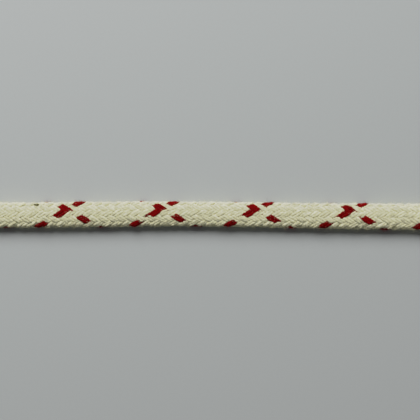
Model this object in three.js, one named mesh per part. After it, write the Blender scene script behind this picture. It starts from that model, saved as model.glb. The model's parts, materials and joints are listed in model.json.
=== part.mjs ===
// Cut length of flat braided cotton cord, in millimetres, +Z up.
// It lies along X on the plane z = 0, and the origin is under the middle of its length.
// The cord is one tubular braid of 20 strands, ten each way, pressed flat. Each strand passes over
// two others and under two, which gives ten columns of floats that lean left and right by turns.
import * as THREE from 'three';

const CORD_THICKNESS = 4;
const LAY = 31;                  // length in which a strand goes once round the cord
const LAYS = 5;                  // cut length, counted in lays
const STRANDS_EACH_WAY = 10;
const STRAND_HEIGHT = 0.4;       // from the middle of the braid's wall to the crown of a float
const COLUMN_TURN = -0.003;      // share of a turn by which the columns stand off the top line
const COLUMN_DRIFT = 0.024;      // share of a turn by which the columns roll over the whole length
const TOP_ROUNDNESS = 2.1;       // exponent of the section's upper half: 2 is an ellipse
const UNDERSIDE_ROUNDNESS = 3;   // a higher exponent is flatter
const REST_DEPTH = 0.1;          // how far the underside is pressed in where the cord lies on it
const REST_HALF_WIDTH = 1.8;     // half the strip of the underside that is pressed smooth
const REST_BLEND = 0.9;          // width over which the plait comes back beside that strip
const NOMINAL_WIDTH = 8;

// Depth of the surface under the crown of a float, at each kind of place in the plait.
const DEPTH = { crown: 0, end: 0.12, valley: 0.24, pit: 0.32 };

// How the cord lies, at even steps along its length: its bow sideways and its width.
const LIE = [
  { bow: -0.08, width: 8.14 },
  { bow: -0.02, width: 8.14 },
  { bow: 0.03, width: 8.15 },
  { bow: 0.12, width: 8.17 },
  { bow: 0.28, width: 8.14 },
  { bow: 0.43, width: 8.1 },
  { bow: 0.54, width: 8.04 },
  { bow: 0.59, width: 7.96 },
  { bow: 0.57, width: 7.92 },
  { bow: 0.48, width: 7.97 },
  { bow: 0.36, width: 8.02 },
  { bow: 0.24, width: 8.07 },
  { bow: 0.12, width: 8.15 },
  { bow: 0.06, width: 8.22 },
  { bow: 0.03, width: 8.3 },
  { bow: -0.02, width: 8.42 },
  { bow: -0.06, width: 8.5 },
];

const length = LAY * LAYS;
const columnsOfCrossings = 2 * STRANDS_EACH_WAY;
const rowsPerLay = 2 * columnsOfCrossings;
const rows = rowsPerLay * LAYS;

const lieCurve = new THREE.CatmullRomCurve3(
  LIE.map(({ bow, width }, i) => new THREE.Vector3((i / (LIE.length - 1) - 0.5) * length, bow, width)),
  false,
  'catmullrom',
);

// Middle of the braid's wall as a closed outline, walked from the top line towards +Y.
function wallOutline(samples = 1440) {
  const halfWidth = NOMINAL_WIDTH / 2 - STRAND_HEIGHT;
  const halfThickness = CORD_THICKNESS / 2 - STRAND_HEIGHT;
  const points = [];
  for (let i = 0; i <= samples; i += 1) {
    const angle = (2 * Math.PI * i) / samples;
    const power = 2 / (Math.cos(angle) >= 0 ? TOP_ROUNDNESS : UNDERSIDE_ROUNDNESS);
    const y = halfWidth * Math.sign(Math.sin(angle)) * Math.abs(Math.sin(angle)) ** power;
    const z = halfThickness * Math.sign(Math.cos(angle)) * Math.abs(Math.cos(angle)) ** power;
    points.push(new THREE.Vector2(y, z));
  }
  return points;
}

const outline = wallOutline();
const arcs = [0];
outline.slice(1).forEach((point, i) => arcs.push(arcs[i] + point.distanceTo(outline[i])));

// Point of the outline at a share of its turn, with the outward normal there.
function wallAt(turn) {
  const wrapped = turn - Math.floor(turn);
  const arc = wrapped * arcs[arcs.length - 1];
  const next = Math.max(1, arcs.findIndex((a) => a >= arc));
  const before = outline[next - 1];
  const after = outline[next];
  const share = (arc - arcs[next - 1]) / (arcs[next] - arcs[next - 1]);
  const point = before.clone().lerp(after, share);
  const along = after.clone().sub(before).normalize();
  return { point, normal: new THREE.Vector2(-along.y, along.x) };
}

// Crossings stand where column and row are both even or both odd, counted in half steps of the lattice.
// Strands that lean forward lie on top in columns 0 and 1 of every four, the others in columns 2 and 3.
function plaitDepth(column, row) {
  if (row % 2 === 0) {
    return (column + row / 2) % 2 === 0 ? DEPTH.crown : DEPTH.pit;
  }
  if (column % 2 === 1) {
    return DEPTH.end;
  }
  const leansForward = (column + (row - 1) / 2) % 2 === 0;
  const forwardOnTop = column % 4 === 0;
  return leansForward === forwardOnTop ? DEPTH.crown : DEPTH.valley;
}

// Share of the plait's relief that is left on the pressed underside.
function reliefShare(y, z) {
  return z > 0 ? 1 : THREE.MathUtils.smoothstep(Math.abs(y), REST_HALF_WIDTH, REST_HALF_WIDTH + REST_BLEND);
}

function surfacePoint(column, row) {
  const lie = lieCurve.getPoint(row / rows);
  const stagger = row % 2 === 0 ? 0 : 0.5;
  const roll = COLUMN_TURN + COLUMN_DRIFT * (row / rows - 0.5);
  const { point, normal } = wallAt((column + stagger) / columnsOfCrossings + roll);
  const height = STRAND_HEIGHT - plaitDepth(column, row) * reliefShare(point.x, point.y);
  const y = lie.y + (point.x + normal.x * height) * (lie.z / NOMINAL_WIDTH);
  const restHeight = -CORD_THICKNESS / 2 + REST_DEPTH;
  const z = Math.max(point.y + normal.y * height, restHeight) - restHeight;
  return [lie.x, y, z];
}

// Rows of points are staggered by half a step, so that every edge follows a strand or the section.
function braidGeometry() {
  const positions = [];
  const triangles = [];
  const at = (column, row) => row * columnsOfCrossings + (column % columnsOfCrossings);
  for (let row = 0; row <= rows; row += 1) {
    for (let column = 0; column < columnsOfCrossings; column += 1) {
      positions.push(...surfacePoint(column, row));
    }
  }
  for (let row = 0; row < rows; row += 1) {
    for (let column = 0; column < columnsOfCrossings; column += 1) {
      const [a, b] = [at(column, row), at(column + 1, row)];
      const [c, d] = [at(column, row + 1), at(column + 1, row + 1)];
      if (row % 2 === 0) {
        triangles.push(a, c, b, b, c, d);
      } else {
        triangles.push(a, d, b, a, c, d);
      }
    }
  }
  for (const row of [0, rows]) {
    const centre = positions.length / 3;
    const lie = lieCurve.getPoint(row / rows);
    positions.push(lie.x, lie.y, CORD_THICKNESS / 2 - REST_DEPTH);
    for (let column = 0; column < columnsOfCrossings; column += 1) {
      const rim = [at(column, row), at(column + 1, row)];
      triangles.push(centre, ...(row === 0 ? rim : rim.reverse()));
    }
  }
  const geometry = new THREE.BufferGeometry();
  geometry.setAttribute('position', new THREE.Float32BufferAttribute(positions, 3));
  geometry.setIndex(triangles);
  geometry.computeVertexNormals();
  return geometry;
}

const naturalCotton = new THREE.MeshStandardMaterial({
  color: new THREE.Color().setRGB(0.78, 0.76, 0.66, THREE.SRGBColorSpace),
  roughness: 0.95,
  metalness: 0,
  flatShading: true,
});

const cord = new THREE.Mesh(braidGeometry(), naturalCotton);
cord.name = 'braided_cord';

// The origin goes under the middle of the cord's own box.
cord.geometry.computeBoundingBox();
const box = cord.geometry.boundingBox;
cord.position.y = -(box.min.y + box.max.y) / 2;

const braid = new THREE.Group();
braid.add(cord);

export default braid;
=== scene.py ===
"""A cut length of flat braided cotton cord with a red tracer, dressed strand by strand on its model."""

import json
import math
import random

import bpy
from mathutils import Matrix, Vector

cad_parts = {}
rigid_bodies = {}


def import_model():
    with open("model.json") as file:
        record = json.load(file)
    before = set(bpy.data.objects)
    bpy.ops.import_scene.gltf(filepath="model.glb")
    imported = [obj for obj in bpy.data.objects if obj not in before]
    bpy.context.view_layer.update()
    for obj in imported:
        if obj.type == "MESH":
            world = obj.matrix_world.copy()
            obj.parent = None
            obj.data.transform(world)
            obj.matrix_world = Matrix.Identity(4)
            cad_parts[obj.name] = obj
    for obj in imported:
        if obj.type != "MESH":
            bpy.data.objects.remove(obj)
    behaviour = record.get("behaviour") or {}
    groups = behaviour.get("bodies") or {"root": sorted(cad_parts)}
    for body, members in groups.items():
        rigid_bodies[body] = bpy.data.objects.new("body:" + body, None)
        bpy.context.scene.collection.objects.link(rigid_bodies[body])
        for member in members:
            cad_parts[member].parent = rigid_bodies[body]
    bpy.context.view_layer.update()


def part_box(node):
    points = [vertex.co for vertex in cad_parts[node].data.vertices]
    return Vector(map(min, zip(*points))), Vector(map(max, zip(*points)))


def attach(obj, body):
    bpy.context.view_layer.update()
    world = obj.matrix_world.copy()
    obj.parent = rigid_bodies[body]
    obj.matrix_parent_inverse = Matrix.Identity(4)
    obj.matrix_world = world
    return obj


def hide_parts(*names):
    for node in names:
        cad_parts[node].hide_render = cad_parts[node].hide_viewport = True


bl_info = {
    "name": "Flat Braided Cord",
    "version": (1, 0, 0),
    "blender": (4, 5, 0),
    "location": "View3D > Sidebar > Cord",
    "description": "Makes a length of flat braided cotton cord with a tracer, strand by strand",
    "category": "Add Mesh",
}

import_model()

MM = 0.001
BODY = "root"
CORD_NODE = "braided_cord"
CORD_LOW, CORD_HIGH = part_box(CORD_NODE)
IMAGE_SIZE = 420

# How the cord lies: its bow sideways and its width, in millimetres, at even steps along its length.
LIE = (
    {"bow": -0.08, "width": 8.14},
    {"bow": -0.02, "width": 8.14},
    {"bow": 0.03, "width": 8.15},
    {"bow": 0.12, "width": 8.17},
    {"bow": 0.28, "width": 8.14},
    {"bow": 0.43, "width": 8.10},
    {"bow": 0.54, "width": 8.04},
    {"bow": 0.59, "width": 7.96},
    {"bow": 0.57, "width": 7.92},
    {"bow": 0.48, "width": 7.97},
    {"bow": 0.36, "width": 8.02},
    {"bow": 0.24, "width": 8.07},
    {"bow": 0.12, "width": 8.15},
    {"bow": 0.06, "width": 8.22},
    {"bow": 0.03, "width": 8.30},
    {"bow": -0.02, "width": 8.42},
    {"bow": -0.06, "width": 8.50},
)

# Strands that lean forward turn one way round the cord, those that lean back the other way. Ten run each
# way: the tracer, and the natural ones that follow it round the cord, as two pieces to keep each one light.
FORWARD, BACK = 1.0, -1.0
TRACER = 6
STRAND_GROUPS = (
    {"name": "natural_strands_forward_1", "lean": FORWARD, "first": TRACER + 1, "count": 5},
    {"name": "natural_strands_forward_2", "lean": FORWARD, "first": TRACER + 6, "count": 4},
    {"name": "natural_strands_back_1", "lean": BACK, "first": TRACER + 1, "count": 5},
    {"name": "natural_strands_back_2", "lean": BACK, "first": TRACER + 6, "count": 4},
    {"name": "tracer_strand_forward", "lean": FORWARD, "first": TRACER, "count": 1},
    {"name": "tracer_strand_back", "lean": BACK, "first": TRACER, "count": 1},
)

# Tufts of fibre that stand off the cord's edges: their places along it, their sides and their hairs.
TUFTS = (
    {"along": 2.4 * MM, "side": 1.0, "hairs": 16},
    {"along": 24.9 * MM, "side": -1.0, "hairs": 26},
    {"along": -52.4 * MM, "side": -1.0, "hairs": 18},
)

# A fleck of seed husk caught in the cotton: its middle, how far it reaches each way, and its colour.
FLECK = {
    "place": (-56.6 * MM, 3.2 * MM, 3.05 * MM),
    "reach": (1.1 * MM, 0.6 * MM, 0.9 * MM),
    "colour": (0.13, 0.12, 0.045, 1.0),
}

# The tones of the cotton, along its fibres, in wide and in small patches, from yarn to yarn and along a
# yarn: the scale and detail of each one's noise, and how much of the colour it changes.
TONES = {
    "fibres": {"scale": 4.0, "detail": 3.0, "share": 0.12},
    "wide": {"scale": 1.0 / (6 * MM), "detail": 2.0, "share": 0.05},
    "small": {"scale": 1.0 / (0.7 * MM), "detail": 2.0, "share": 0.32},
    "yarn": {"scale": 3.0, "detail": 0.0, "share": 0.1},
    "along": {"scale": 0.9, "detail": 1.0, "share": 0.32},
}

# How a soft-spun yarn is uneven along its length: the size of each kind, which lies apart in the noise.
UNEVENNESS = {
    "drift": {"size": 3 * MM, "apart": 0.0},
    "swell": {"size": 1.2 * MM, "apart": 5.0},
    "sink": {"size": 1.8 * MM, "apart": 9.0},
}

# Steps in the noise from strand to strand, yarn to yarn and lean to lean, so that no two yarns are alike.
YARN_STEPS = {"strand": 3.7, "yarn": 1.3, "lean": 91.0}

# How firmly the plait is laid: a firmer one has floats that dive more sharply at their ends.
FIRMNESS = 2.4

# The sizes that the trees of the strands and of the loose fibres take.
BRAID_SIZES = (
    "length",
    "width",
    "thickness",
    "lay",
    "strands_each_way",
    "yarns",
    "strand_width",
    "strand_height",
    "column_turn",
    "column_drift",
    "top_roundness",
    "underside_roundness",
    "press_step",
    "looseness",
    "cut_unevenness",
)
FIBRE_SIZES = ("fibre_length", "fibre_thickness")


class CordSizes(bpy.types.PropertyGroup):
    """The sizes of the cord and of its braid."""

    length: bpy.props.FloatProperty(
        name="Length",
        description="Cut length of the cord",
        unit="LENGTH",
        default=CORD_HIGH[0] - CORD_LOW[0],
    )
    width: bpy.props.FloatProperty(
        name="Width",
        description="Width across the flat of the cord",
        unit="LENGTH",
        default=8 * MM,
    )
    thickness: bpy.props.FloatProperty(
        name="Thickness",
        description="Thickness over the crowns of the plait",
        unit="LENGTH",
        default=4 * MM,
    )
    lay: bpy.props.FloatProperty(
        name="Lay",
        description="Length in which a strand goes once round the cord",
        unit="LENGTH",
        default=31 * MM,
    )
    strands_each_way: bpy.props.IntProperty(
        name="Strands each way",
        description="Strands that run round the cord in each direction",
        default=10,
    )
    yarns: bpy.props.IntProperty(
        name="Yarns",
        description="Yarns that lie side by side in one strand",
        default=2,
    )
    strand_width: bpy.props.FloatProperty(
        name="Strand width",
        description="Width of one strand across its yarns",
        unit="LENGTH",
        default=1.64 * MM,
    )
    strand_height: bpy.props.FloatProperty(
        name="Strand height",
        description="From the middle of the braid's wall to the crown of a float",
        unit="LENGTH",
        default=0.4 * MM,
    )
    column_turn: bpy.props.FloatProperty(
        name="Column turn",
        description="Share of a turn by which the columns stand off the top line",
        default=-0.003,
    )
    column_drift: bpy.props.FloatProperty(
        name="Column drift",
        description="Share of a turn by which the columns roll over the whole length",
        default=0.024,
    )
    tracer_fullness: bpy.props.FloatProperty(
        name="Tracer fullness",
        description="Width of a tracer strand as a share of a natural one",
        default=1.3,
    )
    tracer_reach: bpy.props.FloatProperty(
        name="Tracer reach",
        description="How much longer than a natural float a tracer float stays on top",
        default=0.3,
    )
    top_roundness: bpy.props.FloatProperty(
        name="Top roundness",
        description="Exponent of the section's upper half, where 2 is an ellipse",
        default=2.1,
    )
    underside_roundness: bpy.props.FloatProperty(
        name="Underside roundness",
        description="Exponent of the section's lower half; higher is flatter",
        default=3.0,
    )
    rest_depth: bpy.props.FloatProperty(
        name="Rest depth",
        description="How far the underside is pressed in where it lies",
        unit="LENGTH",
        default=0.1 * MM,
    )
    press_step: bpy.props.FloatProperty(
        name="Press step",
        description="Step between the layers where the plait lies pressed flat",
        unit="LENGTH",
        default=0.15 * MM,
    )
    looseness: bpy.props.FloatProperty(
        name="Looseness",
        description="How far a yarn wanders from its even path",
        unit="LENGTH",
        default=0.3 * MM,
    )
    cut_unevenness: bpy.props.FloatProperty(
        name="Cut unevenness",
        description="How far back the shortest yarn ends at a cut",
        unit="LENGTH",
        default=0.5 * MM,
    )
    fuzz_density: bpy.props.FloatProperty(
        name="Fuzz density",
        description="Loose fibres on a square metre of the surface",
        default=5.0e6,
    )
    cut_fuzz_density: bpy.props.FloatProperty(
        name="Cut fuzz density",
        description="Loose fibres on a square metre of a cut end",
        default=30e6,
    )
    fibre_length: bpy.props.FloatProperty(
        name="Fibre length",
        description="Mean length of a loose fibre",
        unit="LENGTH",
        default=0.8 * MM,
    )
    fibre_thickness: bpy.props.FloatProperty(
        name="Fibre thickness",
        description="Thickness of a loose fibre at its root",
        unit="LENGTH",
        default=0.032 * MM,
    )


class CottonColours(bpy.types.PropertyGroup):
    """The colours of the yarns, the darker colours painted as shade deep between their floats, and the
    colour of the stage.
    """

    natural: bpy.props.FloatVectorProperty(
        name="Natural",
        description="Undyed cotton",
        subtype="COLOR",
        default=(0.8, 0.775, 0.53),
    )
    # Painted shade: a darker undyed cotton colour mixed in deep between the floats, where shade falls.
    natural_painted_shade: bpy.props.FloatVectorProperty(
        name="Natural painted shade",
        description="Painted shade on undyed cotton deep between the floats",
        subtype="COLOR",
        default=(0.42, 0.38, 0.22),
    )
    tracer: bpy.props.FloatVectorProperty(
        name="Tracer",
        description="Dyed cotton of the tracer strands",
        subtype="COLOR",
        default=(0.215, 0.001, 0.0013),
    )
    # Painted shade: a darker red mixed in deep between the tracer's floats, where shade falls.
    tracer_painted_shade: bpy.props.FloatVectorProperty(
        name="Tracer painted shade",
        description="Painted shade on dyed cotton deep between the floats",
        subtype="COLOR",
        default=(0.08, 0.001, 0.001),
    )
    floor: bpy.props.FloatVectorProperty(
        name="Floor",
        description="Pale card under the cord",
        subtype="COLOR",
        default=(0.44, 0.46, 0.455),
    )


class Socket:
    """A socket, whose numbers can be used in Python expressions."""

    def __init__(self, graph, socket):
        self.graph = graph
        self.socket = socket

    def __add__(self, other):
        return self.graph.math("ADD", self, other)

    __radd__ = __add__

    def __sub__(self, other):
        return self.graph.math("SUBTRACT", self, other)

    def __rsub__(self, other):
        return self.graph.math("SUBTRACT", other, self)

    def __mul__(self, other):
        return self.graph.math("MULTIPLY", self, other)

    __rmul__ = __mul__

    def __truediv__(self, other):
        return self.graph.math("DIVIDE", self, other)

    def __rtruediv__(self, other):
        return self.graph.math("DIVIDE", other, self)

    def __pow__(self, other):
        return self.graph.math("POWER", self, other)

    def __neg__(self):
        return self.graph.math("MULTIPLY", self, -1.0)


class Node:
    """A node whose outputs are taken by name or by place."""

    def __init__(self, graph, node):
        self.graph = graph
        self.node = node

    def __getitem__(self, output):
        return Socket(self.graph, self.node.outputs[output])


class Graph:
    """A node tree in the making."""

    def __init__(self, tree):
        self.tree = tree

    def feed(self, socket, value):
        """Links a socket to another one, or sets its value."""
        if isinstance(value, Socket):
            self.tree.links.new(value.socket, socket)
        else:
            socket.default_value = value

    def node(self, kind, settings=None, values=None):
        """Makes a node of that type, with its settings first and then its sockets' values or links."""
        node = self.tree.nodes.new(kind)
        for name, value in (settings or {}).items():
            setattr(node, name, value)
        for name, value in (values or {}).items():
            self.feed(node.inputs[name], value)
        return Node(self, node)

    def math(self, operation, *values):
        return self.node("ShaderNodeMath", {"operation": operation}, dict(enumerate(values)))["Value"]

    def vector(self, operation, *values):
        settings = {"operation": operation}
        return self.node("ShaderNodeVectorMath", settings, dict(enumerate(values)))["Vector"]

    def scaled(self, vector, factor):
        values = {"Vector": vector, "Scale": factor}
        return self.node("ShaderNodeVectorMath", {"operation": "SCALE"}, values)["Vector"]

    def point(self, x, y, z):
        return self.node("ShaderNodeCombineXYZ", values={"X": x, "Y": y, "Z": z})["Vector"]

    def parts(self, vector):
        node = self.node("ShaderNodeSeparateXYZ", values={"Vector": vector})
        return node["X"], node["Y"], node["Z"]

    def smooth(self, value, low, high):
        """0 below low, 1 above high, and a smooth step between."""
        return self.node(
            "ShaderNodeMapRange",
            {"interpolation_type": "SMOOTHSTEP"},
            {"Value": value, "From Min": low, "From Max": high},
        )["Result"]

    def noise(self, vector, scale, detail=0.0):
        """Smooth noise from -1 to 1."""
        node = self.node(
            "ShaderNodeTexNoise",
            {"noise_dimensions": "3D"},
            {"Vector": vector, "Scale": scale, "Detail": detail},
        )
        return node["Fac"] * 2.0 - 1.0

    def mixed(self, share, colour, other):
        """A colour that takes a share of the other one."""
        factor, first, second, result = 0, 6, 7, 2
        return self.node(
            "ShaderNodeMix",
            {"data_type": "RGBA", "blend_type": "MIX"},
            {factor: share, first: colour, second: other},
        )[result]

    def spot(self):
        """The place on the object, in metres."""
        return self.node("ShaderNodeTexCoord")["Object"]

    def marked(self, name, output):
        """What the mesh is marked with under that name."""
        return self.node("ShaderNodeAttribute", {"attribute_name": name})[output]

    def surface(self, values):
        """The material's shader, with the values or links of its sockets."""
        shader = self.node("ShaderNodeBsdfPrincipled", values=values)["BSDF"]
        self.node("ShaderNodeOutputMaterial", values={"Surface": shader})


class GeometryGraph(Graph):
    """A Geometry Nodes group with named inputs and one geometry output."""

    def __init__(self, name, inputs):
        super().__init__(bpy.data.node_groups.new(name, "GeometryNodeTree"))
        face = self.tree.interface
        face.new_socket("Geometry", in_out="OUTPUT", socket_type="NodeSocketGeometry")
        face.new_socket("Geometry", in_out="INPUT", socket_type="NodeSocketGeometry")
        for title, kind in inputs.items():
            face.new_socket(title, in_out="INPUT", socket_type=kind)
        self.given = self.node("NodeGroupInput")

    def attribute(self, name):
        values = {"Name": name}
        return self.node("GeometryNodeInputNamedAttribute", {"data_type": "FLOAT"}, values)["Attribute"]

    def store(self, geometry, name, value, kind="FLOAT"):
        return self.node(
            "GeometryNodeStoreNamedAttribute",
            {"data_type": kind, "domain": "POINT"},
            {"Geometry": geometry, "Name": name, "Value": value},
        )["Geometry"]

    def random(self, low, high, seed):
        """A random number for each element."""
        least, most, start, drawn = 2, 3, 8, 1
        values = {least: low, most: high, start: seed}
        return self.node("FunctionNodeRandomValue", {"data_type": "FLOAT"}, values)[drawn]

    def position(self):
        return self.node("GeometryNodeInputPosition")["Position"]

    def put(self, geometry, place):
        """The geometry with its points put at that place."""
        values = {"Geometry": geometry, "Position": place}
        return self.node("GeometryNodeSetPosition", values=values)["Geometry"]

    def sampled(self, curve, share, value=0.0):
        """A curve's position, tangent and value at a share of its length."""
        return self.node(
            "GeometryNodeSampleCurve",
            {"mode": "FACTOR", "data_type": "FLOAT"},
            {"Curves": curve, "Value": value, "Factor": share},
        )

    def circle(self, radius, resolution):
        values = {"Resolution": resolution, "Radius": radius}
        return self.node("GeometryNodeCurvePrimitiveCircle", {"mode": "RADIUS"}, values)["Curve"]

    def real(self, instances):
        return self.node("GeometryNodeRealizeInstances", values={"Geometry": instances})["Geometry"]

    def end(self, geometry):
        """Realizes the instances, gives the material and closes the tree."""
        values = {"Geometry": self.real(geometry), "Material": self.given["Material"]}
        done = self.node("GeometryNodeSetMaterial", values=values)["Geometry"]
        self.node("NodeGroupOutput", values={"Geometry": done})
        return self.tree


def label(name):
    """The label of the tree's input that takes a size, from the size's own name."""
    return name.replace("_", " ").title()


def inputs_for(names):
    """Inputs of a tree for sizes of those names."""
    return {label(name): "NodeSocketFloat" for name in names}


def values_for(names, sizes):
    """What those inputs are given."""
    return {label(name): float(getattr(sizes, name)) for name in names}


def give_inputs(modifier, values):
    """Sets a Geometry Nodes modifier's inputs by the identifiers of their sockets."""
    for item in modifier.node_group.interface.items_tree:
        if item.in_out == "INPUT" and item.name in values:
            modifier[item.identifier] = values[item.name]


def grown(name, base, tree, values):
    """The plain mesh object that a Geometry Nodes tree makes from a base."""
    source = bpy.data.objects.new(name + "_source", base)
    bpy.context.scene.collection.objects.link(source)
    modifier = source.modifiers.new("grow", "NODES")
    modifier.node_group = tree
    give_inputs(modifier, values)
    shape = source.evaluated_get(bpy.context.evaluated_depsgraph_get())
    mesh = bpy.data.meshes.new_from_object(shape)
    bpy.data.objects.remove(source)
    mesh.name = name
    piece = bpy.data.objects.new(name, mesh)
    bpy.context.scene.collection.objects.link(piece)
    return piece


def lie_shift():
    """How far the cord moves sideways to stand over the origin, in metres."""
    low = min(row["bow"] - row["width"] / 2 for row in LIE)
    high = max(row["bow"] + row["width"] / 2 for row in LIE)
    return -(low + high) / 2 * MM


def route_points(sizes):
    """The points of the cord's middle line at the height of its middle, in metres."""
    steps = len(LIE) - 1
    shift = lie_shift()
    height = sizes.thickness / 2 - sizes.rest_depth
    return [
        Vector(((i / steps - 0.5) * sizes.length, row["bow"] * MM + shift, height))
        for i, row in enumerate(LIE)
    ]


def route_curve(sizes):
    """The middle line as a curve, whose radius is the cord's width as a share of its nominal width."""
    curve = bpy.data.curves.new("cord_route", "CURVE")
    curve.dimensions = "3D"
    spline = curve.splines.new("POLY")
    spline.points.add(len(LIE) - 1)
    for point, place, row in zip(spline.points, route_points(sizes), LIE):
        point.co = (*place, 1.0)
        point.radius = row["width"] * MM / sizes.width
    return curve


def braid_wall(g):
    """The middle of the braid's wall, walked from the top line towards +Y, and half its size each way."""
    steps = 256
    turn = g.node("GeometryNodeInputIndex")["Index"] * (2 * math.pi / steps)
    sine, cosine = g.math("SINE", turn), g.math("COSINE", turn)
    top, underside = g.given["Top Roundness"], g.given["Underside Roundness"]
    on_top = g.math("GREATER_THAN", cosine, 0.0)
    power = 2.0 / (underside + on_top * (top - underside))
    half_width = g.given["Width"] * 0.5 - g.given["Strand Height"]
    half_height = g.given["Thickness"] * 0.5 - g.given["Strand Height"]
    y = half_width * g.math("SIGN", sine) * g.math("ABSOLUTE", sine) ** power
    z = half_height * g.math("SIGN", cosine) * g.math("ABSOLUTE", cosine) ** power
    return g.put(g.circle(radius=1.0, resolution=steps), g.point(0.0, y, z)), half_width, half_height


def straight_yarns(g):
    """One straight tube of unit size for each yarn, marked with the strand and the yarn that it is."""
    sides, rings = 10, 700
    yarns = g.given["Yarns"]
    points = g.node("GeometryNodePoints", values={"Count": g.given["Strand Count"] * yarns})["Points"]
    index = g.node("GeometryNodeInputIndex")["Index"]
    strand = g.math("FLOOR", (index + 0.5) / yarns)
    points = g.store(points, "strand", strand + g.given["First Strand"])
    points = g.store(points, "yarn", index - strand * yarns)
    tube = g.node(
        "GeometryNodeMeshCylinder",
        {"fill_type": "NGON"},
        {"Vertices": sides, "Side Segments": rings, "Radius": 1.0, "Depth": 1.0},
    )["Mesh"]
    tubes = g.node("GeometryNodeInstanceOnPoints", values={"Points": points, "Instance": tube})
    return g.real(tubes["Instances"])


class Yarns:
    """The points of the yarns while they are straight tubes of unit size, and what is each yarn's own."""

    def __init__(self, g):
        self.g = g
        self.strand, self.number = g.attribute("strand"), g.attribute("yarn")
        self.side, self.rise, self.share = g.parts(g.position())
        self.along = self.share * g.given["Length"]
        self.outside = g.math("GREATER_THAN", self.rise, 0.0)
        self.inside = g.math("LESS_THAN", self.rise, 0.0)
        self.identity = (
            self.strand * YARN_STEPS["strand"]
            + self.number * YARN_STEPS["yarn"]
            + g.given["Lean"] * YARN_STEPS["lean"]
        )
        self.swell = self.uneven("swell")
        cut_share = 0.01
        self.at_cut = g.smooth(g.math("ABSOLUTE", self.share), 0.5 - cut_share, 0.5)

    def uneven(self, kind):
        """One kind of unevenness along each yarn, from -1 to 1."""
        place = self.g.point(self.along, self.identity, UNEVENNESS[kind]["apart"])
        return self.g.noise(place, 1.0 / UNEVENNESS[kind]["size"], detail=1.0)

    def nap(self):
        """Unevenness along and across each yarn, from -1 to 1."""
        millimetres = 0.45
        place = self.g.point(self.along, self.identity, self.side * millimetres * MM)
        return self.g.noise(place, 1.0 / (millimetres * MM), detail=1.0)


class Plait:
    """How the strands run round the braid's wall, and which of them lies on top."""

    def __init__(self, yarns, wall):
        g = self.g = yarns.g
        self.yarns = yarns
        self.strand_width = g.given["Strand Width"] * g.given["Fullness"]
        self.perimeter = g.node("GeometryNodeCurveLength", values={"Curve": wall})["Length"]
        slope = self.perimeter / g.given["Lay"]
        self.slant = g.math("SQRT", 1.0 + slope * slope)
        self.pitch = self.perimeter / g.given["Strands Each Way"]
        self.wound = g.given["Lean"] * yarns.along * slope

    def arc_at(self, across):
        """The arc round the wall of a point that lies that far across its strand."""
        return self.yarns.strand * self.pitch + self.wound + across * self.slant

    def lift_at(self, arc, firmness):
        """1 where the strand lies over those that it crosses, and -1 under: two over, two under."""
        crossings_in_float, phase = 2.0, 0.25
        floats = (self.yarns.strand + (arc + self.wound) / self.pitch) / crossings_in_float
        layer = self.g.math("COSINE", (floats - phase) * math.pi)
        pull = (self.g.given["Lean"] * layer + self.g.given["Reach"]) * firmness
        return self.g.math("TANH", pull) / self.g.math("TANH", firmness)

    def across_strand(self):
        """Where a point lies across its strand, whose yarns are narrower where they dive or are under."""
        closeness, dive_waist, under_waist = 0.93, 0.12, 0.1
        half_breadth, breadth_change = 0.57, 0.16
        count = self.g.given["Yarns"]
        room = self.strand_width / count
        drift = self.yarns.uneven("drift") * self.g.given["Looseness"]
        middle = (self.yarns.number - (count - 1.0) * 0.5) * room * closeness + drift
        lift = self.lift_at(self.arc_at(middle), FIRMNESS)
        waist = 1.0 - dive_waist * (1.0 - lift * lift) - under_waist * (1.0 - lift)
        half_width = room * (half_breadth + breadth_change * self.yarns.swell) * waist
        return middle + half_width * self.yarns.side


def wall_place(plait, wall, arc):
    """The point of the wall at an arc round it, and the wall's direction there."""
    g, given = plait.g, plait.g.given
    above_zero = 8.0
    turns = arc / plait.perimeter + given["Column Turn"] + plait.yarns.share * given["Column Drift"]
    on_wall = g.sampled(wall, g.math("FRACT", turns + above_zero))
    _, y, z = g.parts(on_wall["Position"])
    _, tangent_y, tangent_z = g.parts(g.vector("NORMALIZE", on_wall["Tangent"]))
    return y, z, tangent_y, tangent_z


def outer_side(plait):
    """The outer side of a yarn: a flattened oval, a little ridged by the yarn's plies."""
    g, yarns = plait.g, plait.yarns
    squareness = 2.8
    crown = (1.0 - g.math("ABSOLUTE", yarns.side) ** squareness) ** (1.0 / squareness)
    ply_length, ply_lean, ply_step = 1.15 * MM, 2.4, 5.0
    wound = yarns.along * plait.slant * (2 * math.pi / ply_length)
    plies = g.math("COSINE", yarns.side * ply_lean - wound + yarns.identity * ply_step)
    mean, swell_share, ply_share = 0.58, 0.15, 0.1
    fullness = g.given["Fullness"] * (mean + swell_share * yarns.swell + ply_share * plies)
    return yarns.outside * crown * g.given["Strand Height"] * fullness


def inner_side(plait, under, half_height):
    """The inner side: squarer, and nearly to the cord's middle where the yarn is under and at the cuts."""
    g, yarns, height = plait.g, plait.yarns, plait.g.given["Strand Height"]
    squareness, least_depth, clearance = 4, 0.5, 0.9
    packed = (1.0 - yarns.side ** squareness) ** (1 / squareness)
    bulk = g.math("MAXIMUM", under, yarns.at_cut) * (half_height - height * clearance)
    return yarns.inside * packed * -(height * least_depth + bulk)


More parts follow.
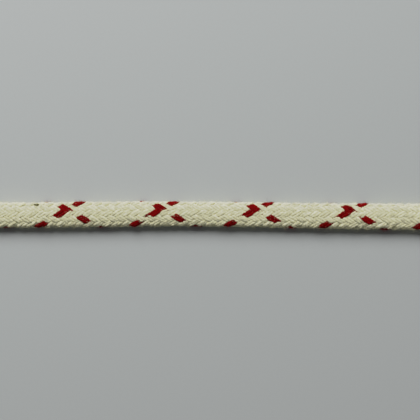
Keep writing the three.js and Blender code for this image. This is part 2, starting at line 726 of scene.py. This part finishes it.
def height_over_wall(plait, across, lift, under, bent, half_height):
    """How far a yarn's surface stands outwards of the middle of the wall."""
    yarns, given = plait.yarns, plait.g.given
    height = given["Strand Height"]

    # Shares of the strand's height on the flat of the cord, and what the cord's bent edges add.
    weave_share, weave_at_edge = 0.4, 1.1
    weave = height * weave_share * lift * (1.0 + weave_at_edge * bent)
    rounding_share, rounding_at_edge = 0.1, 0.5
    strand_share = across / (plait.strand_width * 0.5)
    rounding = height * (rounding_share + rounding_at_edge * bent) * strand_share * strand_share

    # Shares of the looseness, again on the flat and at the edges.
    sink_share, sink_at_edge = 0.8, 0.5
    sinking = yarns.uneven("sink") * given["Looseness"] * (sink_share + sink_at_edge * bent)
    nap_millimetres = 0.05
    nap = yarns.outside * yarns.nap() * nap_millimetres * MM
    return weave + sinking + outer_side(plait) + inner_side(plait, under, half_height) - rounding + nap


def route_place(yarns, y, z, under):
    """The place along the route, no lower than what the cord lies on, with each yarn's end pulled back."""
    g, given = yarns.g, yarns.g.given
    values = {"Curve": given["Geometry"]}
    route = g.node("GeometryNodeCurveSplineType", {"spline_type": "CATMULL_ROM"}, values)["Curve"]
    radius = g.node("GeometryNodeInputRadius")["Radius"]
    on_route = g.sampled(route, yarns.share + 0.5, radius)
    route_x, route_y, route_z = g.parts(on_route["Position"])
    end_step, apart, end_scale = 2.0, 3.0, 1.7
    uneven_end = g.noise(g.point(yarns.identity, yarns.share * end_step, apart), end_scale)
    pull_back = yarns.at_cut * given["Cut Unevenness"] * (0.5 + 0.5 * uneven_end)
    return g.point(
        route_x - g.math("SIGN", yarns.share) * pull_back,
        route_y + y * on_route["Value"],
        g.math("MAXIMUM", z + route_z, under * given["Press Step"]),
    )


def fibre_coordinates(plait):
    """Coordinates for the cotton: round the yarn, turning with its twist, and along it."""
    g, yarns = plait.g, plait.yarns
    twist_length, streak_length, apart = 4.5 * MM, 2 * MM, 10.0
    twist = yarns.along * (2 * math.pi / twist_length)
    sine, cosine = g.math("SINE", twist), g.math("COSINE", twist)
    turned_side = yarns.side * cosine - yarns.rise * sine
    turned_rise = yarns.side * sine + yarns.rise * cosine
    streak = yarns.along * plait.slant / streak_length + yarns.identity * apart
    return g.point(turned_side, turned_rise, streak)


def strand_tree():
    """Strands of a tubular braid that is pressed flat, each of a few yarns, laid along a route."""
    g = GeometryGraph(
        "braid_strands",
        {
            **inputs_for(BRAID_SIZES),
            "Fullness": "NodeSocketFloat",
            "Reach": "NodeSocketFloat",
            "Lean": "NodeSocketFloat",
            "First Strand": "NodeSocketFloat",
            "Strand Count": "NodeSocketFloat",
            "Material": "NodeSocketMaterial",
        },
    )
    wall, half_width, half_height = braid_wall(g)
    tubes = straight_yarns(g)
    yarns = Yarns(g)
    plait = Plait(yarns, wall)
    across = plait.across_strand()
    arc = plait.arc_at(across)
    y, z, tangent_y, tangent_z = wall_place(plait, wall, arc)

    # The plait opens where the wall bends round the cord's edges: its floats are rounder and prouder there.
    bend_start, bend_softening = 0.45, 1.2
    bent = g.smooth(g.math("ABSOLUTE", y / half_width), bend_start, 1.0)
    lift = plait.lift_at(arc, FIRMNESS - bend_softening * bent)
    under = 0.5 - lift * 0.5
    over_wall = height_over_wall(plait, across, lift, under, bent, half_height)
    place = route_place(yarns, y - tangent_z * over_wall, z + tangent_y * over_wall, under)

    # What the cotton's look is made from: sunk is 0 at a crown's height, and grows with depth under it; the
    # materials paint shade from it deep between the floats, and the fuzz grows only where it is low.
    sunk = (1.0 - over_wall / g.given["Strand Height"]) * (1.0 - yarns.at_cut)
    tubes = g.store(tubes, "fibre", fibre_coordinates(plait), "FLOAT_VECTOR")
    tubes = g.store(tubes, "sunk", sunk)
    tubes = g.store(tubes, "yarn_id", yarns.identity)
    values = {"Geometry": g.put(tubes, place), "Shade Smooth": True}
    return g.end(g.node("GeometryNodeSetShadeSmooth", {"domain": "FACE"}, values)["Geometry"])


def fibre_bodies(g, hairs):
    """Bends straight hairs, keeps them off the surface below and gives them tapering bodies."""
    curl_size, curl, taper = 0.6 * MM, 2.6, 0.7
    length, thickness = g.given["Fibre Length"], g.given["Fibre Thickness"]
    along = g.node("GeometryNodeSplineParameter")["Factor"]
    values = {"Vector": g.position(), "Scale": 1.0 / curl_size, "Detail": 1.0}
    turmoil = g.node("ShaderNodeTexNoise", values=values)["Color"]
    centred = g.vector("SUBTRACT", turmoil, (0.5, 0.5, 0.5))
    bend = g.scaled(centred, along * along * length * curl)
    hairs = g.node("GeometryNodeSetPosition", values={"Geometry": hairs, "Offset": bend})["Geometry"]
    x, y, z = g.parts(g.position())
    hairs = g.put(hairs, g.point(x, y, g.math("MAXIMUM", z, thickness)))
    return g.node(
        "GeometryNodeCurveToMesh",
        values={
            "Curve": hairs,
            "Profile Curve": g.circle(radius=0.5, resolution=3),
            "Scale": thickness * (1.0 - taper * along),
            "Fill Caps": True,
        },
    )["Mesh"]


def fuzz_tree():
    """Loose fibres that stand off the crowns of the floats and off the cut ends."""
    g = GeometryGraph(
        "cotton_fuzz",
        {
            **inputs_for(FIBRE_SIZES),
            "Density": "NodeSocketFloat",
            "Cut Density": "NodeSocketFloat",
            "Cut Start": "NodeSocketFloat",
            "Seed": "NodeSocketInt",
            "Material": "NodeSocketMaterial",
        },
    )
    given = g.given
    clear_height, crown_depth = 0.4 * MM, 0.5
    from_middle, _, height = g.parts(g.position())
    clear = g.math("GREATER_THAN", height, clear_height)
    exposed = g.math("LESS_THAN", g.attribute("sunk"), crown_depth)
    cut = g.math("GREATER_THAN", g.math("ABSOLUTE", from_middle), given["Cut Start"])
    density = clear * (exposed * given["Density"] + cut * given["Cut Density"])
    scattered = g.node(
        "GeometryNodeDistributePointsOnFaces",
        {"distribute_method": "RANDOM"},
        {"Mesh": given["Geometry"], "Density": density, "Seed": given["Seed"]},
    )

    # A fibre leans from upright to any side, and is shorter or longer than the mean.
    least_lean, most_lean = 0.35, 1.5
    shortest, longest = 0.4, 1.6
    lean = g.point(g.random(least_lean, most_lean, seed=1), 0.0, g.random(0.0, 2 * math.pi, seed=2))
    turn = g.node("FunctionNodeEulerToRotation", values={"Euler": lean})["Rotation"]
    stance = g.node(
        "FunctionNodeRotateRotation",
        {"rotation_space": "LOCAL"},
        {"Rotation": scattered["Rotation"], "Rotate By": turn},
    )["Rotation"]
    root, tip, points = (0.0, 0.0, -0.05), (0.0, 0.0, 1.0), 4
    hair = g.node("GeometryNodeCurvePrimitiveLine", values={"Start": root, "End": tip})["Curve"]
    hair = g.node("GeometryNodeResampleCurve", values={"Curve": hair, "Count": points})["Curve"]
    hairs = g.node(
        "GeometryNodeInstanceOnPoints",
        values={
            "Points": scattered["Points"],
            "Instance": hair,
            "Rotation": stance,
            "Scale": g.scaled((1.0, 1.0, 1.0), given["Fibre Length"] * g.random(shortest, longest, seed=3)),
        },
    )["Instances"]
    return g.end(fibre_bodies(g, g.real(hairs)))


def tuft_tree():
    """Gives the hairs of the tufts their bodies."""
    g = GeometryGraph("cotton_tufts", {**inputs_for(FIBRE_SIZES), "Material": "NodeSocketMaterial"})
    return g.end(fibre_bodies(g, g.given["Geometry"]))


def lie_at(along, sizes, name):
    """A column of the table of how the cord lies, at a place along it."""
    place = (along / sizes.length + 0.5) * (len(LIE) - 1)
    row = min(int(place), len(LIE) - 2)
    return LIE[row][name] + (LIE[row + 1][name] - LIE[row][name]) * (place - row)


def tuft_hairs(sizes):
    """Straight hairs that spread from each tuft's root, which is a little inside the cord's edge."""
    seed, steps, root_depth = 5, 4, 0.15 * MM
    draw = random.Random(seed)
    curve = bpy.data.curves.new("tuft_hairs", "CURVE")
    curve.dimensions = "3D"

    # How far from the root hairs start, in millimetres, and how they fan out along the cord and upwards.
    start_along, start_up = 0.18, 0.25
    fan_along, mean_up, fan_up = 0.6, 0.1, 0.35
    shortest, longest = 0.5, 1.3
    for tuft in TUFTS:
        bow = lie_at(tuft["along"], sizes, "bow") * MM + lie_shift()
        half_width = lie_at(tuft["along"], sizes, "width") * MM / 2
        edge = bow + tuft["side"] * (half_width - root_depth)
        root = Vector((tuft["along"], edge, sizes.thickness * 0.5))
        for _ in range(tuft["hairs"]):
            start = root + Vector((draw.gauss(0.0, start_along), 0.0, draw.gauss(0.0, start_up))) * MM
            way = Vector((draw.gauss(0.0, fan_along), tuft["side"], draw.gauss(mean_up, fan_up)))
            reach = sizes.fibre_length * draw.uniform(shortest, longest)
            spline = curve.splines.new("POLY")
            spline.points.add(steps)
            for i, point in enumerate(spline.points):
                point.co = (*(start + way.normalized() * (reach * i / steps)), 1.0)
    return curve


def blank_material(name):
    """A material with nothing in it yet, and its graph."""
    material = bpy.data.materials.new(name)
    material.use_nodes = True
    material.node_tree.nodes.clear()
    return material, Graph(material.node_tree)


def loose_cotton(name, colour):
    """The same cotton as single fibres, a little uneven in tone."""
    material, g = blank_material(name)
    patch_size, detail, share = 1.5 * MM, 1.0, 0.08
    tone = 1.0 + g.noise(g.spot(), 1.0 / patch_size, detail) * share
    g.surface({"Base Color": g.scaled(tuple(colour), tone), "Roughness": 0.9, "Specular IOR Level": 0.15})
    return material


def fleck_mask(g, ragged):
    """1 on the fleck and 0 away from it, with a ragged edge."""
    offset = g.vector("DIVIDE", g.vector("SUBTRACT", g.spot(), FLECK["place"]), FLECK["reach"])
    away = g.node("ShaderNodeVectorMath", {"operation": "LENGTH"}, {0: offset})["Value"]
    raggedness, edge_start, edge_end = 0.4, 0.6, 1.1
    return 1.0 - g.smooth(away + ragged * raggedness, edge_start, edge_end)


def cotton_tones(g):
    """The tones of the cotton, each from -1 to 1."""
    fibre = g.marked("fibre", "Vector")
    _, _, along_yarn = g.parts(fibre)
    yarn_step, apart_x, apart_y = 0.37, 7.0, 3.0
    places = {
        "fibres": fibre,
        "wide": g.spot(),
        "small": g.spot(),
        "yarn": g.point(g.marked("yarn_id", "Fac") * yarn_step, 0.0, 0.0),
        "along": g.point(apart_x, apart_y, along_yarn),
    }
    return {kind: g.noise(places[kind], row["scale"], row["detail"]) for kind, row in TONES.items()}


def cotton(name, colour, painted_shade_colour, sheen, husk=False):
    """Soft-spun cotton, streaked along its fibres, with painted shade darkening its hollows, and the fleck
    where asked.
    """
    material, g = blank_material(name)
    tones = cotton_tones(g)
    tone = sum((tones[kind] * row["share"] for kind, row in TONES.items()), 1.0)
    # Painted shade: the colour turns towards a darker one deep between the floats, where shade falls.
    shade_start, shade_end, shade_share = 0.6, 1.5, 0.4
    hollow = g.smooth(g.marked("sunk", "Fac"), shade_start, shade_end) * shade_share
    tint = g.mixed(hollow, (*colour, 1.0), (*painted_shade_colour, 1.0))
    if husk:
        tint = g.mixed(fleck_mask(g, tones["small"]), tint, FLECK["colour"])
    bump = {"Strength": 0.6, "Distance": 0.06 * MM, "Height": tones["fibres"] * 0.5 + 0.5}
    g.surface(
        {
            "Base Color": g.scaled(tint, tone),
            "Roughness": 0.9,
            "Normal": g.node("ShaderNodeBump", values=bump)["Normal"],
            "Diffuse Roughness": 1.0,
            "Subsurface Weight": 0.3,
            "Subsurface Radius": (1.0, 0.9, 0.7),
            "Subsurface Scale": 0.5 * MM,
            "Sheen Weight": sheen,
            "Sheen Roughness": 0.5,
            "Specular IOR Level": 0.08,
        }
    )
    return material


class CORD_OT_stage(bpy.types.Operator):
    """Lays out the floor, the soft studio light and the camera"""

    bl_idname = "cord.stage"
    bl_label = "Stage"

    def execute(self, context):
        scene = context.scene
        scene.view_settings.view_transform = "Standard"
        soften_highlights(scene.view_settings)
        add_floor(scene)
        add_lights(scene)
        add_camera(scene)
        return {"FINISHED"}


def soften_highlights(view):
    """Gives the camera the soft shoulder of a photograph, in scene brightness from 0 to 1."""
    view.use_curve_mapping = True
    mapping = view.curve_mapping
    combined = mapping.curves[3]
    shoulder = ((0.35, 0.355), (0.5, 0.49), (0.65, 0.555))
    brightest = (1.0, 0.67)
    for brightness, shown in shoulder:
        combined.points.new(brightness, shown)
    combined.points[-1].location = brightest
    mapping.update()


def add_floor(scene):
    """A plain pale card under the cord."""
    half = 0.6
    corners = [(-half, -half, 0.0), (half, -half, 0.0), (half, half, 0.0), (-half, half, 0.0)]
    mesh = bpy.data.meshes.new("floor")
    mesh.from_pydata(corners, [], [(0, 1, 2, 3)])
    floor = bpy.data.objects.new("floor", mesh)
    scene.collection.objects.link(floor)
    material, g = blank_material("pale_card")
    grain_size, detail, share = 0.8 * MM, 3.0, 0.02
    tone = 1.0 + g.noise(g.spot(), 1.0 / grain_size, detail) * share
    g.surface({"Base Color": g.scaled(tuple(scene.cord_colours.floor), tone), "Roughness": 0.9})
    mesh.materials.append(material)


def add_lights(scene):
    """A dim white room, and a large soft lamp a metre off, beyond the cord and a little to its left."""
    world = bpy.data.worlds.new("soft_room")
    world.use_nodes = True
    background = world.node_tree.nodes["Background"]
    background.inputs["Color"].default_value = (1.0, 1.0, 1.0, 1.0)
    background.inputs["Strength"].default_value = 0.095
    scene.world = world
    key = bpy.data.lights.new("key", "AREA")
    key.shape = "DISK"
    key.size = 0.68
    key.energy = 12.8
    lamp = bpy.data.objects.new("key", key)
    rise, turn_left = math.radians(41), math.radians(18)
    lamp.location = Vector((-math.tan(turn_left), 1.0, math.tan(rise))).normalized()
    lamp.rotation_euler = (-lamp.location).to_track_quat("-Z", "Y").to_euler()
    scene.collection.objects.link(lamp)


def add_camera(scene):
    """A camera straight above, framed as a square picture whose scale is set by the tracer's repeat."""
    sizes = scene.cord_sizes
    lay_in_pixels = 94.83
    cord_row = 215.85
    aside, tilt = 0.3 * MM, math.radians(0.26)
    view_width = sizes.lay / lay_in_pixels * IMAGE_SIZE
    camera = bpy.data.cameras.new("camera")
    camera.lens = 100
    camera.sensor_width = 36
    camera.clip_start = 0.01
    height = view_width * camera.lens / camera.sensor_width
    centre_y = (cord_row - IMAGE_SIZE / 2) * view_width / IMAGE_SIZE + lie_shift()
    eye = bpy.data.objects.new("camera", camera)
    eye.location = (aside, centre_y, height + sizes.thickness)
    eye.rotation_euler = (0.0, 0.0, tilt)
    scene.collection.objects.link(eye)
    scene.camera = eye


def is_tracer(group):
    return group["first"] == TRACER


class CORD_OT_strands(bpy.types.Operator):
    """Braids the natural and the tracer strands"""

    bl_idname = "cord.strands"
    bl_label = "Strands"

    def execute(self, context):
        sizes, colours = context.scene.cord_sizes, context.scene.cord_colours
        natural = cotton("natural_cotton", colours.natural, colours.natural_painted_shade, sheen=0.1, husk=True)
        tracer = cotton("tracer_cotton", colours.tracer, colours.tracer_painted_shade, sheen=0.0)
        tree = strand_tree()
        route = route_curve(sizes)
        for group in STRAND_GROUPS:
            values = {
                **values_for(BRAID_SIZES, sizes),
                "Fullness": sizes.tracer_fullness if is_tracer(group) else 1.0,
                "Reach": sizes.tracer_reach if is_tracer(group) else 0.0,
                "Lean": group["lean"],
                "First Strand": float(group["first"]),
                "Strand Count": float(group["count"]),
                "Material": tracer if is_tracer(group) else natural,
            }
            piece = grown(group["name"], route, tree, values)
            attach(piece, BODY)
            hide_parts(CORD_NODE)
        return {"FINISHED"}


class CORD_OT_fuzz(bpy.types.Operator):
    """Scatters loose fibres over the strands"""

    bl_idname = "cord.fuzz"
    bl_label = "Fuzz"

    def execute(self, context):
        sizes, colours = context.scene.cord_sizes, context.scene.cord_colours
        natural = loose_cotton("loose_natural_cotton", colours.natural)
        tracer = loose_cotton("loose_tracer_cotton", colours.tracer)
        tree = fuzz_tree()
        for seed, group in enumerate(STRAND_GROUPS):
            values = {
                **values_for(FIBRE_SIZES, sizes),
                "Density": sizes.fuzz_density,
                "Cut Density": sizes.cut_fuzz_density,
                "Cut Start": sizes.length / 2 - sizes.cut_unevenness,
                "Seed": seed,
                "Material": tracer if is_tracer(group) else natural,
            }
            piece = grown(fuzz_name(group), bpy.data.objects[group["name"]].data, tree, values)
            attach(piece, BODY)
        return {"FINISHED"}


def fuzz_name(group):
    return group["name"].replace("strands", "fuzz").replace("strand", "fuzz")


class CORD_OT_tufts(bpy.types.Operator):
    """Adds the tufts that stand off the edges"""

    bl_idname = "cord.tufts"
    bl_label = "Tufts"

    def execute(self, context):
        sizes, colours = context.scene.cord_sizes, context.scene.cord_colours
        material = loose_cotton("tuft_cotton", colours.natural)
        values = {**values_for(FIBRE_SIZES, sizes), "Material": material}
        piece = grown("tufts", tuft_hairs(sizes), tuft_tree(), values)
        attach(piece, BODY)
        return {"FINISHED"}


class CORD_OT_declare(bpy.types.Operator):
    """Gathers the names of the cord's pieces, and does nothing more with them"""

    bl_idname = "cord.declare"
    bl_label = "Cord facts"

    def execute(self, context):
        names = [group["name"] for group in STRAND_GROUPS]
        names += [fuzz_name(group) for group in STRAND_GROUPS] + ["tufts"]
        return {"FINISHED"}


class CORD_PT_panel(bpy.types.Panel):
    """Lists the cord's pieces and sizes"""

    bl_idname = "CORD_PT_panel"
    bl_label = "Flat Braided Cord"
    bl_space_type = "VIEW_3D"
    bl_region_type = "UI"
    bl_category = "Cord"

    def draw(self, context):
        for operator in OPERATORS:
            self.layout.operator(operator.bl_idname)
        for group in (context.scene.cord_sizes, context.scene.cord_colours):
            for name in group.__annotations__:
                self.layout.prop(group, name)


OPERATORS = (CORD_OT_stage, CORD_OT_strands, CORD_OT_fuzz, CORD_OT_tufts, CORD_OT_declare)
CLASSES = (CordSizes, CottonColours, *OPERATORS, CORD_PT_panel)


def register():
    for item in CLASSES:
        bpy.utils.register_class(item)
    bpy.types.Scene.cord_sizes = bpy.props.PointerProperty(type=CordSizes)
    bpy.types.Scene.cord_colours = bpy.props.PointerProperty(type=CottonColours)


def unregister():
    del bpy.types.Scene.cord_colours
    del bpy.types.Scene.cord_sizes
    for item in reversed(CLASSES):
        bpy.utils.unregister_class(item)


def main():
    """Makes the whole cord."""
    register()
    bpy.ops.cord.stage()
    bpy.ops.cord.strands()
    bpy.ops.cord.fuzz()
    bpy.ops.cord.tufts()
    bpy.ops.cord.declare()


if __name__ == "__main__":
    main()
